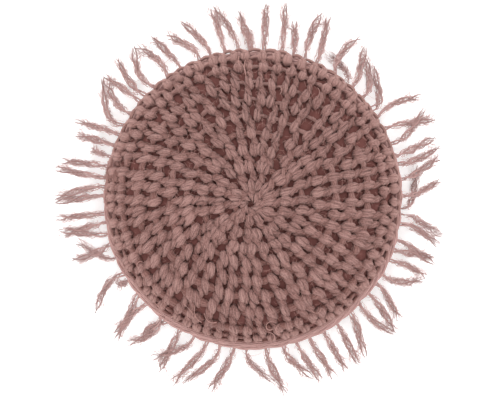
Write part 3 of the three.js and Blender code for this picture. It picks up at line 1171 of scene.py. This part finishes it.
LOCKS = (
    Lock(0.5, -1, 240, body=0.8), Lock(5, 4.5, 276), Lock(11.5, 10, 280), Lock(16, 13.5, 258),
    Lock(20.5, 20.5, 280, bow=-4), Lock(25, 22.5, 279), Lock(33, 33.5, 273, bow=-9),
    Lock(38.5, 27, 236, body=0.45, lift=3), Lock(41, 36, 267), Lock(46, 38, 257, bow=5),
    Lock(51.5, 41.5, 254, bow=7), Lock(55.5, 58, 276, bow=-7), Lock(60.5, 65.5, 279),
    Lock(66.5, 61, 272, bow=4, lift=3), Lock(71.5, 70, 269), Lock(74.5, 73, 272, bow=3),
    Lock(80.5, 76, 267), Lock(86.5, 82.5, 262, bow=3), Lock(91.5, 77, 236, body=0.6, lift=3),
    Lock(93.5, 99.5, 268, body=0.5), Lock(97.5, 102.5, 264, bow=-4), Lock(103.5, 108, 264),
    Lock(107.5, 106, 258, lift=2), Lock(112, 112.5, 261, bow=-4), Lock(117.5, 113.5, 258, bow=6),
    Lock(122, 127.5, 258), Lock(127, 131, 265), Lock(132, 131.5, 265, bow=6, lift=2),
    Lock(137.5, 143, 262), Lock(144, 146, 265), Lock(150, 150, 264), Lock(156, 154, 265),
    Lock(161.5, 158, 261), Lock(166.5, 160, 252, bow=4), Lock(174, 169.5, 265),
    Lock(181, 172, 246, bow=7, body=0.7), Lock(186.5, 192.5, 261), Lock(192.5, 201, 261, bow=-5),
    Lock(197.5, 204, 268), Lock(203.5, 213, 249, bow=-4, lift=3), Lock(209.5, 208.5, 260),
    Lock(214.5, 218, 236, bow=12), Lock(219, 222, 254, bow=-10), Lock(226, 224.5, 261, bow=7),
    Lock(232, 227, 256, bow=-8), Lock(238, 239, 212, body=0.7), Lock(241, 235, 258, bow=8),
    Lock(248.5, 258, 245, body=0.6, lift=2), Lock(254.5, 253, 256, bow=-5), Lock(258.5, 262.5, 265),
    Lock(263, 261, 258, lift=2), Lock(266.5, 266, 267), Lock(273.5, 270.5, 267),
    Lock(277, 272, 268, lift=2), Lock(280.5, 280.5, 272), Lock(285, 283, 265),
    Lock(289, 289, 232, body=0.7), Lock(293.5, 292, 258), Lock(298, 295.5, 267),
    Lock(302.5, 311, 267, bow=-12), Lock(307.5, 311, 261, bow=-6), Lock(313, 311.5, 267, lift=2),
    Lock(316.5, 318, 272, bow=-6), Lock(321, 324, 269, bow=-10), Lock(327, 324, 268, bow=6, lift=2),
    Lock(333, 329.5, 267), Lock(340.5, 333.5, 261, bow=3), Lock(345, 339, 268, bow=2),
    Lock(350.5, 349, 276), Lock(355.5, 350, 276, body=0.7), Lock(359.5, 356.5, 268, body=0.7),
)


@dataclass
class Fringe:
    """The loose yarn ends: opened plies and fine filaments that fall to the floor and lie on it.

    Pairs of numbers are a middle value and how much it scatters, unless they say otherwise.
    Places along a lock are shares of its length.

    Attributes:
        crown: The dome whose rim the locks hang from.
        root_drop: How far their roots are below the seam.
        fall: The distance over which they fall to the floor.
        lying: How high their middles lie on it.
        handles: The places of the two handles of a lock's curve.
        bow_pull: How far the handles are to the side, as a share of the bow.
        stations: How many points a lock has.
        plies: How many full plies a lock has.
        ply_radius: Their radius.
        ply_sides: How many sides a ply has.
        ply_flatness: Its height, as a share of its width.
        thin_plies: How many thin plies a lock has.
        thin_share: Their radius, as a share of a full ply's.
        thin_spread: How much further to the side they lie.
        spread: How far a ply is from the lock's middle.
        rooted: The share of that at the root.
        rooted_over: The place from which it is all of it.
        twist: How many times the plies turn round each other.
        opened: How far a lock opens at one place.
        open_at: That place.
        open_over: The length of the opening.
        splay: How far the plies splay at the tip.
        splay_from: The place at which they start to.
        splay_over: The length over which they do.
        ply_waves: How many waves a full ply and a thin one have.
        ply_sway: How far they wave.
        sway_shifts: The shift of the waves from ply to ply and from lock to lock.
        low: How far plies lie over each other, as a share of how far they lie beside each other.
        taper: How much of its radius a ply loses along its length.
        lumps: How much the radius varies, and how fast.
        tip: The length of the rounded tip, and its least share of the radius.
        tip_blunt: How far the rounding would end past the tip.
        filaments: How many filaments a lock has.
        filament_radius: Their radius.
        filament_points: How many points one has.
        filament_start: The place where it starts.
        filament_stop: The place where it ends.
        filament_waves: How many waves it has.
        filament_phase: How much the waves' start scatters, in radians.
        filament_spread: How far it waves to the side.
        filament_vary: How much that scatters, as a share.
        filament_rise: How far it waves up, and with how many waves.
        filament_taper: Its width at the start, and how much of it is lost to the end.
        fray: How far its end strays to the side.
        strays: How many stray hairs there are.
        stray_radius: Their radius.
        stray_points: How many points one has.
        stray_order: The step from one hair's lock to the next one's.
        stray_station: The station of the lock that one starts from.
        stray_heading: Its first direction from straight across, in radians.
        stray_curl: How far it turns, in radians.
        stray_length: How long it is.
        stray_height: How high its end lies, and how much higher its middle may be.
        stray_taper: Its width at the start, and how much of it is lost to the end.
        stray_up: A direction that no hair follows.
    """

    crown: Crown
    root_drop: float = 5 * MM
    fall: float = 40 * MM
    lying: float = 1.1 * MM
    handles: tuple[float, float] = (0.36, 0.68)
    bow_pull: float = 1.33
    stations: int = 22
    plies: int = 2
    ply_radius: float = 1.1 * MM
    ply_sides: int = 6
    ply_flatness: float = 0.9
    thin_plies: int = 2
    thin_share: float = 0.42
    thin_spread: float = 0.35
    spread: float = 2.2 * MM
    rooted: float = 0.45
    rooted_over: float = 0.4
    twist: tuple[float, float] = (1.2, 0.5)
    opened: float = 1.0 * MM
    open_at: tuple[float, float] = (0.5, 0.35)
    open_over: float = 0.28
    splay: float = 0.9 * MM
    splay_from: float = 0.7
    splay_over: float = 0.3
    ply_waves: tuple[float, float] = (2.3, 4.0)
    ply_sway: float = 0.6 * MM
    sway_shifts: tuple[float, float] = (0.37, 0.61)
    low: float = 0.45
    taper: float = 0.4
    lumps: tuple[float, int] = (0.12, 11)
    tip: tuple[float, float] = (0.2, 0.03)
    tip_blunt: float = 0.01
    filaments: int = 26
    filament_radius: float = 0.25 * MM
    filament_points: int = 13
    filament_start: tuple[float, float] = (0.225, 0.225)
    filament_stop: tuple[float, float] = (0.88, 0.12)
    filament_waves: tuple[float, float] = (1.8, 1.2)
    filament_phase: float = 3.0
    filament_spread: float = 3.8 * MM
    filament_vary: float = 0.6
    filament_rise: tuple[float, float] = (0.9 * MM, 1.3)
    filament_taper: tuple[float, float] = (1.3, 0.6)
    fray: float = 10 * MM
    strays: int = 110
    stray_radius: float = 0.26 * MM
    stray_points: int = 10
    stray_order: int = 29
    stray_station: tuple[int, int] = (11, 8)
    stray_heading: tuple[float, float] = (0.5, 0.5)
    stray_curl: float = 2.2
    stray_length: tuple[float, float] = (14 * MM, 8 * MM)
    stray_height: tuple[float, float] = (0.6 * MM, 2.5 * MM)
    stray_taper: tuple[float, float] = (1.2, 0.5)
    stray_up: tuple[float, float, float] = (0.1, 0.2, 1.0)

    def directions(self, degrees: np.ndarray) -> np.ndarray:
        """Flat directions for degrees clockwise from the top of the face."""
        turn = np.radians(90 - degrees)
        return np.stack([np.cos(turn), np.sin(turn), np.zeros_like(turn)], axis=-1)

    def column(self, name: str) -> np.ndarray:
        """One column of the table of locks."""
        return np.array([getattr(lock, name) for lock in LOCKS])

    def middles(self) -> tuple[np.ndarray, np.ndarray]:
        """The middle line of every lock, and the direction across it at each station.

        In plan it is a cubic Bezier curve that leaves the rim square to it. Its height falls
        along half a cosine wave over the first stretch, and is level from there on.
        """
        centre = np.array([*self.crown.centre, 0.0])
        root = self.directions(self.column("root"))
        inward = root @ centre
        distance = np.sqrt(inward**2 - centre @ centre + self.crown.radius**2) - inward
        start = centre + root * distance[:, None]
        end = centre + self.directions(self.column("tip")) * (self.column("reach") * MM)[:, None]
        length = np.linalg.norm(end - start, axis=1)[:, None]
        out = unit(start)
        clockwise = np.stack([out[:, 1], -out[:, 0], out[:, 2]], axis=-1)
        bow = clockwise * (self.column("bow") * MM)[:, None] * self.bow_pull
        near, far = self.handles
        second = start + out * length * near + bow
        third = start + (end - start) * far + bow
        t = np.linspace(0, 1, self.stations)[None, :, None]
        parts = (start, second, third, end)
        weights = ((1 - t) ** 3, 3 * t * (1 - t) ** 2, 3 * t**2 * (1 - t), t**3)
        path = sum(w * p[:, None] for w, p in zip(weights, parts))
        gone = np.linalg.norm(path - start[:, None], axis=-1)
        fallen = np.clip(gone / self.fall, 0, 1)
        lift = (self.column("lift") * MM)[:, None]
        rest = self.lying + lift * np.sin(np.clip(gone / length, 0, 1) * math.pi)
        drop = self.crown.seam - self.root_drop - rest
        path[..., 2] = rest + drop * (1 + np.cos(fallen * math.pi)) / 2
        flat = np.gradient(path, axis=1)
        flat[..., 2] = 0
        along = unit(flat)
        across = np.stack([-along[..., 1], along[..., 0], along[..., 2]], axis=-1)
        return path, across

    def build(self) -> tuple[bpy.types.Object, bpy.types.Object]:
        """The locks' plies as one mesh, and their filaments and stray hairs as another."""
        path, across = self.middles()
        up = np.cross(across, unit(np.gradient(path, axis=1)))
        up *= np.sign(up[..., 2:])
        mesh, hairs = YarnMesh(), YarnMesh()
        for k in range(self.plies + self.thin_plies):
            self.ply(mesh, path, across, up, k)
        for k in range(self.filaments):
            self.filament(hairs, path, across, up, k)
        self.stray_hairs(hairs, path, across)
        return mesh.build("fringe_locks"), hairs.build("fringe_hairs", smooth=False)

    def ply(self, mesh: YarnMesh, path: np.ndarray, across: np.ndarray, up: np.ndarray,
            k: int) -> None:
        """Adds one ply to every lock. The plies twist, open at one place and splay at the tip.

        Args:
            mesh: The mesh that takes the plies.
            path: The locks' middle lines.
            across: The directions across them.
            up: The directions up from them.
            k: The ply's number, the full ones first.
        """
        numbers = np.arange(len(LOCKS))
        body = self.column("body")[:, None]
        s = np.linspace(0, 1, self.stations)[None, :]
        thin = k >= self.plies
        turns = self.twist[0] + self.twist[1] * scatter(20 + thin, numbers)
        turn = TURN * (k / self.plies + turns[:, None] * s)
        rooted = self.rooted + (1 - self.rooted) * np.clip(s / self.rooted_over, 0, 1)
        open_at = self.open_at[0] + self.open_at[1] * scatter(22 + k // 2, numbers)[:, None]
        opening = self.opened * (1 + scatter(24, numbers))[:, None]
        opening = opening * np.exp(-(((s - open_at) / self.open_over) ** 2))
        splay = self.splay * np.maximum(s - self.splay_from, 0) / self.splay_over
        splay = splay * (1 + scatter(26, numbers))[:, None]
        apart = self.spread * body * rooted + opening + splay
        from_ply, from_lock = self.sway_shifts
        sway = self.ply_waves[thin] * s + k * from_ply + numbers[:, None] * from_lock
        sway = self.ply_sway * np.sin(TURN * sway)
        sideways = apart * np.cos(turn) * (1 + self.thin_spread * thin) + sway
        raised = apart * np.sin(turn) * self.low
        line = path + across * sideways[..., None] + up * raised[..., None]
        full = self.ply_radius * (self.thin_share if thin else 1)
        lump, lumps = self.lumps
        radius = full * body * (1 - self.taper * s**2)
        radius = radius * (1 + lump * np.sin(lumps * s + k + numbers[:, None]))
        tip_over, tip_least = self.tip
        radius = radius * np.sqrt(np.clip((1 + self.tip_blunt - s) / tip_over, tip_least, 1))
        line[..., 2] = np.maximum(line[..., 2], radius)
        shade = shades(scatter(30 + k, numbers))
        mesh.sweep(line, across, radius, radius * self.ply_flatness, self.ply_sides, shade)

    def filament(self, mesh: YarnMesh, path: np.ndarray, across: np.ndarray, up: np.ndarray,
                 k: int) -> None:
        """Adds one fine filament to every lock. It wanders across the lock and ends in its fray.

        Args:
            mesh: The mesh that takes the filaments.
            path: The locks' middle lines.
            across: The directions across them.
            up: The directions up from them.
            k: The filament's number.
        """
        numbers = np.arange(len(LOCKS))
        start = self.filament_start[0] + self.filament_start[1] * scatter(200 + k, numbers)
        stop = self.filament_stop[0] + self.filament_stop[1] * scatter(220 + k, numbers)
        t = np.linspace(0, 1, self.filament_points)[None, :]
        place = (start[:, None] + (stop - start)[:, None] * t) * (self.stations - 1)
        low = np.minimum(place.astype(int), self.stations - 2)
        blend = (place - low)[..., None]
        rows = numbers[:, None]

        def at(values: np.ndarray) -> np.ndarray:
            """Values of the locks' stations, at the filament's own."""
            return values[rows, low] * (1 - blend) + values[rows, low + 1] * blend

        waves = self.filament_waves[0] + self.filament_waves[1] * scatter(240 + k, numbers)
        phase = self.filament_phase * scatter(260 + k, numbers)[:, None]
        width = self.filament_spread * (1 + self.filament_vary * scatter(280 + k, numbers))
        sideways = width[:, None] * np.sin(TURN * waves[:, None] * t + phase)
        sideways = sideways + self.fray * scatter(300 + k, numbers)[:, None] * t**3
        rise, rises = self.filament_rise
        raised = rise * np.sin(TURN * rises * t + 2 * phase)
        line = at(path) + at(across) * sideways[..., None] + at(up) * raised[..., None]
        line[..., 2] = np.maximum(line[..., 2], self.filament_radius * 2)
        wide, lost = self.filament_taper
        radius = np.broadcast_to(self.filament_radius * (wide - lost * t), line.shape[:2])
        mesh.sweep(line, at(across), radius, radius, 3, shades(scatter(320 + k, numbers), PALE))

    def stray_hairs(self, mesh: YarnMesh, path: np.ndarray, across: np.ndarray) -> None:
        """Adds single hairs that curl away from the locks over the floor.

        Args:
            mesh: The mesh that takes the hairs.
            path: The locks' middle lines.
            across: The directions across them.
        """
        numbers = np.arange(self.strays)
        one, two, three, four = (scatter(500 + k, numbers)[:, None] for k in range(4))
        lock = (numbers * self.stray_order) % len(LOCKS)
        station = (self.stray_station[0] + self.stray_station[1] * one[:, 0]).astype(int)
        start = path[lock, station]
        side = across[lock, station] * np.sign(two)
        onward = unit(path[lock, station] - path[lock, station - 1])
        t = np.linspace(0, 1, self.stray_points)[None, :]
        heading = self.stray_heading[0] + self.stray_heading[1] * three
        way = heading + self.stray_curl * four * t
        step = (self.stray_length[0] + self.stray_length[1] * two) / (self.stray_points - 1)
        out = np.cumsum(step * np.cos(way), axis=1)[..., None] * side[:, None]
        along = np.cumsum(step * np.sin(way), axis=1)[..., None] * onward[:, None]
        line = start[:, None] + out + along
        end_height, arch = self.stray_height
        line[..., 2] = end_height + arch * (1 + one) * t * (1 - t) + start[:, None, 2] * (1 - t)
        wide, lost = self.stray_taper
        radius = np.broadcast_to(self.stray_radius * (wide - lost * t), line.shape[:2])
        flat = np.cross(np.gradient(line, axis=1), self.stray_up)
        mesh.sweep(line, flat, radius, radius, 3, shades(three[:, 0], PALE))


@dataclass(frozen=True)
class Whisker:
    """A loose hair or end that lies on the crochet in the photo.

    Attributes:
        clockwise: Its start's direction from the disc's middle, in degrees clockwise from the top.
        reach: Its start's distance from the disc's middle, in mm.
        length: How long it is, in mm.
        heading: Its first direction, in degrees clockwise from outward.
        curl: How far it turns along its length, in degrees.
        thickness: Its radius, in mm.
    """

    clockwise: float
    reach: float
    length: float
    heading: float
    curl: float = 60
    thickness: float = 0.45


WHISKERS = (
    Whisker(355, 178, 22, 150, 40), Whisker(357, 183, 20, 200, -30), Whisker(354, 190, 16, 170, 30),
    Whisker(300, 186, 18, 120, 50, 0.35), Whisker(303, 190, 14, 60, 80, 0.35),
    Whisker(171, 172, 26, 60, 260, 0.5), Whisker(174, 178, 24, 240, 240, 0.45),
    Whisker(168, 182, 20, 100, 160, 0.4), Whisker(196, 168, 22, 60, 90), Whisker(202, 176, 26, 100, 70),
    Whisker(207, 172, 20, 140, -60), Whisker(213, 184, 24, 60, -70), Whisker(218, 186, 26, 80, 30),
    Whisker(224, 180, 18, 100, 50, 0.4), Whisker(238, 172, 16, 30, 200, 0.4),
    Whisker(272, 190, 18, 10, 60, 0.35), Whisker(279, 188, 20, 350, 50, 0.35),
    Whisker(284, 192, 16, 20, -60, 0.35), Whisker(12, 150, 14, 90, 120, 0.35),
    Whisker(30, 168, 14, 120, 60, 0.35), Whisker(66, 176, 18, 80, 70, 0.35),
    Whisker(128, 182, 16, 90, 120, 0.35), Whisker(148, 168, 18, 40, 150, 0.35),
)


@dataclass
class Fuzz:
    """The fine hairs that stand out of the crochet, and the loose ends that lie on it.

    Attributes:
        crown: The dome that they lie on.
        hairs: How many fine hairs there are.
        radius: Their radius.
        length: How long they are, and how much that scatters.
        curl: How much they curl, in radians.
        low: The least height of their ends over the crochet's underside.
        high: The largest.
        rise: How much higher a hair's middle is.
        stations: How many points a fine hair has.
        taper: Its width at its start and at its end.
        rim_every: Of how many hairs one is at the rim.
        rim: Where those are, as a share of the radius, and how much that scatters.
        fuzzy_side: The side of the rim where most of them are.
        fuzzy_width: How far they are from it at the most, in radians.
        end_height: The height of the loose ends over the crochet's underside.
        end_stations: How many points a loose end has.
        end_taper: Its width at its start and at its end.
        up: A direction that no hair follows.
    """

    crown: Crown
    hairs: int = 3000
    radius: float = 0.15 * MM
    length: tuple[float, float] = (7.5, 3)
    curl: float = 2.0
    low: float = 5.5 * MM
    high: float = 9 * MM
    rise: float = 2.6 * MM
    stations: int = 5
    taper: tuple[float, float] = (1.2, 0.7)
    rim_every: int = 4
    rim: tuple[float, float] = (0.95, 0.045)
    fuzzy_side: float = math.radians(170)
    fuzzy_width: float = 0.9
    end_height: float = 8.5 * MM
    end_stations: int = 16
    end_taper: tuple[float, float] = (1.1, 0.6)
    up: tuple[float, float, float] = (0.3, 0.2, 1.0)

    def hair_paths(self, start: np.ndarray, angle: np.ndarray, length: np.ndarray,
                   heading: np.ndarray, curl: np.ndarray, height: np.ndarray,
                   stations: int) -> np.ndarray:
        """Curls that lie close over the crochet.

        Args:
            start: Where each starts, in metres from the middle.
            angle: The direction of its start.
            length: Its length.
            heading: Its first direction, counter-clockwise from outward.
            curl: How far it turns along its length.
            height: Its height over the crochet's underside.
            stations: How many points it gets.

        Returns:
            Shape (hairs, stations, 3).
        """
        t = np.linspace(0, 1, stations)[None, :]
        way = heading[:, None] + curl[:, None] * t
        step = length[:, None] / (stations - 1)
        out = start[:, None] + np.cumsum(step * np.cos(way), axis=1)
        turned = angle[:, None] + np.cumsum(step * np.sin(way), axis=1) / np.maximum(out, 5 * MM)
        share = np.clip(out / self.crown.radius, 0.01, 1)
        along = self.crown.along_from_planar(share)
        return self.crown.place(along, turned, height[:, None] + self.rise * np.sin(math.pi * t))

    def build(self) -> bpy.types.Object:
        """All the hairs as one mesh. There are more of them at the rim's fuzzy side."""
        mesh = YarnMesh()
        numbers = np.arange(self.hairs)
        one, two, three, four, five = (scatter(400 + k, numbers) for k in range(5))
        at_rim = numbers % self.rim_every == 0
        start = self.crown.radius * np.sqrt((one + 1) / 2)
        start = np.where(at_rim, self.crown.radius * (self.rim[0] + self.rim[1] * one), start)
        angle = np.where(at_rim, self.fuzzy_side + self.fuzzy_width * two**3, math.pi * two)
        height = self.low + (self.high - self.low) * (three + 1) / 2
        length = (self.length[0] + self.length[1] * four) * MM
        path = self.hair_paths(start, angle, length, math.pi * five, self.curl * one, height,
                               self.stations)
        taper = self.radius * np.linspace(*self.taper, self.stations)
        radius = np.broadcast_to(taper, path.shape[:2])
        side = np.cross(np.gradient(path, axis=1), self.up)
        mesh.sweep(path, side, radius, radius, 3, shades(two, PALE))

        clockwise, reach, length, heading, curl, thickness = np.array(
            [[w.clockwise, w.reach, w.length, w.heading, w.curl, w.thickness] for w in WHISKERS]).T
        height = np.full(len(WHISKERS), self.end_height)
        path = self.hair_paths(reach * MM, np.radians(90 - clockwise), length * MM,
                               -np.radians(heading), -np.radians(curl), height, self.end_stations)
        taper = np.linspace(*self.end_taper, self.end_stations)[None, :]
        radius = taper * thickness[:, None] * MM
        side = np.cross(np.gradient(path, axis=1), self.up)
        mesh.sweep(path, side, radius, radius, 5, np.ones(len(WHISKERS)))
        return mesh.build("crochet_fuzz", smooth=False)


@dataclass
class Studio:
    """The floor, the soft lights and the camera over the cushion's face.

    Attributes:
        view_width: How wide the picture is at the rim.
        distance: How far the camera is from the rim.
        rim_height: The height of the rim.
        aim: Where the camera looks, in plan.
        floor_size: How wide the floor is.
        floor_white: How white it is.
        floor_glow: How much it glows, so that the shadows on it stay faint.
        sky: The strength of the light from all round.
    """

    view_width: float = 0.6667
    distance: float = 2.2
    rim_height: float = 0.045
    aim: tuple[float, float] = (-4 * MM, -2 * MM)
    floor_size: float = 6.0
    floor_white: float = 0.97
    floor_glow: float = 0.2
    sky: float = 1.7

    def floor(self) -> None:
        """A plain pale floor, which isn't part of the object."""
        bpy.ops.mesh.primitive_plane_add(size=self.floor_size)
        floor = bpy.context.object
        floor.name = "floor"
        white = self.floor_white
        floor.data.materials.append(Shader("floor").finish({
            "Base Color": (white, white, white, 1),
            "Roughness": 0.9,
            "Emission Color": (1, 1, 1, 1),
            "Emission Strength": self.floor_glow,
        }))

    def light(self, name: str, place: tuple, size: float, power: float) -> None:
        """One soft square light that faces the cushion."""
        data = bpy.data.lights.new(name, "AREA")
        data.size = size
        data.energy = power
        lamp = bpy.data.objects.new(name, data)
        lamp.location = place
        aim = np.array(place) - (0, 0, self.rim_height)
        azimuth = math.atan2(aim[1], aim[0])
        tilt = math.atan2(math.hypot(aim[0], aim[1]), aim[2])
        lamp.rotation_euler = (0, tilt, azimuth)
        bpy.context.scene.collection.objects.link(lamp)

    def camera(self) -> None:
        """A camera that looks straight down on the face, far enough off for a flat view."""
        data = bpy.data.cameras.new("camera")
        data.lens = data.sensor_width * self.distance / self.view_width
        camera = bpy.data.objects.new("camera", data)
        camera.location = (*self.aim, self.rim_height + self.distance)
        bpy.context.scene.collection.objects.link(camera)
        bpy.context.scene.camera = camera

    def build(self) -> None:
        """Sets the whole studio."""
        self.camera()
        self.floor()
        world = bpy.data.worlds.new("studio")
        world.use_nodes = True
        background = world.node_tree.nodes["Background"]
        background.inputs["Color"].default_value = (1, 1, 1, 1)
        background.inputs["Strength"].default_value = self.sky
        bpy.context.scene.world = world
        bpy.context.scene.view_settings.view_transform = "Standard"
        self.light("key", place=(0.25, 1.0, 1.6), size=1.0, power=6)
        self.light("fill", place=(-1.2, -0.4, 1.4), size=1.2, power=2)


def dress(piece: bpy.types.Object, finish: bpy.types.Material, slot: str, *nodes: str) -> None:
    """Gives a piece its finish and body, and hides the solids that it stands for.

    Args:
        piece: The object.
        finish: Its material.
        slot: Not used.
        nodes: The solids that it replaces.
    """
    piece.data.materials.append(finish)
    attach(piece, BODY)
    if nodes:
        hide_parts(*nodes)
    log.info("%s: %d points", piece.name, len(piece.data.vertices))


def main() -> None:
    """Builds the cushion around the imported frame."""
    logging.basicConfig(level=logging.INFO, format="%(message)s")
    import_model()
    low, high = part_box("crochet_front")
    crown = Crown(radius=FACE_RADIUS, seam=low[2], rise=high[2] - low[2])

    yarn = YarnFinish("crochet_yarn", (151, 116, 110), (86, 50, 46)).material()
    hair = HairFinish("crochet_hair", (165, 128, 121), (132, 95, 89)).material()
    fringe_hair = HairFinish("fringe_hair", (192, 161, 157), (144, 109, 105)).material()
    edging_yarn = YarnFinish("edging_yarn", (175, 137, 132), (130, 92, 88)).material()
    fringe_yarn = YarnFinish("fringe_yarn", (170, 136, 132), (118, 82, 78), run=5 * MM).material()
    woven = CasingFinish("casing_cloth", (122, 77, 72), (88, 53, 49)).material()

    casing = InnerCushion(crown).build()
    dress(casing, woven, "casing", "inner_cushion")

    for piece in CrochetFront(crown).build():
        dress(piece, yarn, "yarn", "crochet_front")

    fuzz = Fuzz(crown).build()
    dress(fuzz, hair, "yarn")

    edging = Edging(crown).build()
    dress(edging, edging_yarn, "edging", "edge_fringe")
    locks, hairs = Fringe(crown).build()
    dress(locks, fringe_yarn, "edging", "edge_fringe")
    dress(hairs, fringe_hair, "edging", "edge_fringe")

    Studio().build()


if __name__ == "__main__":
    main()
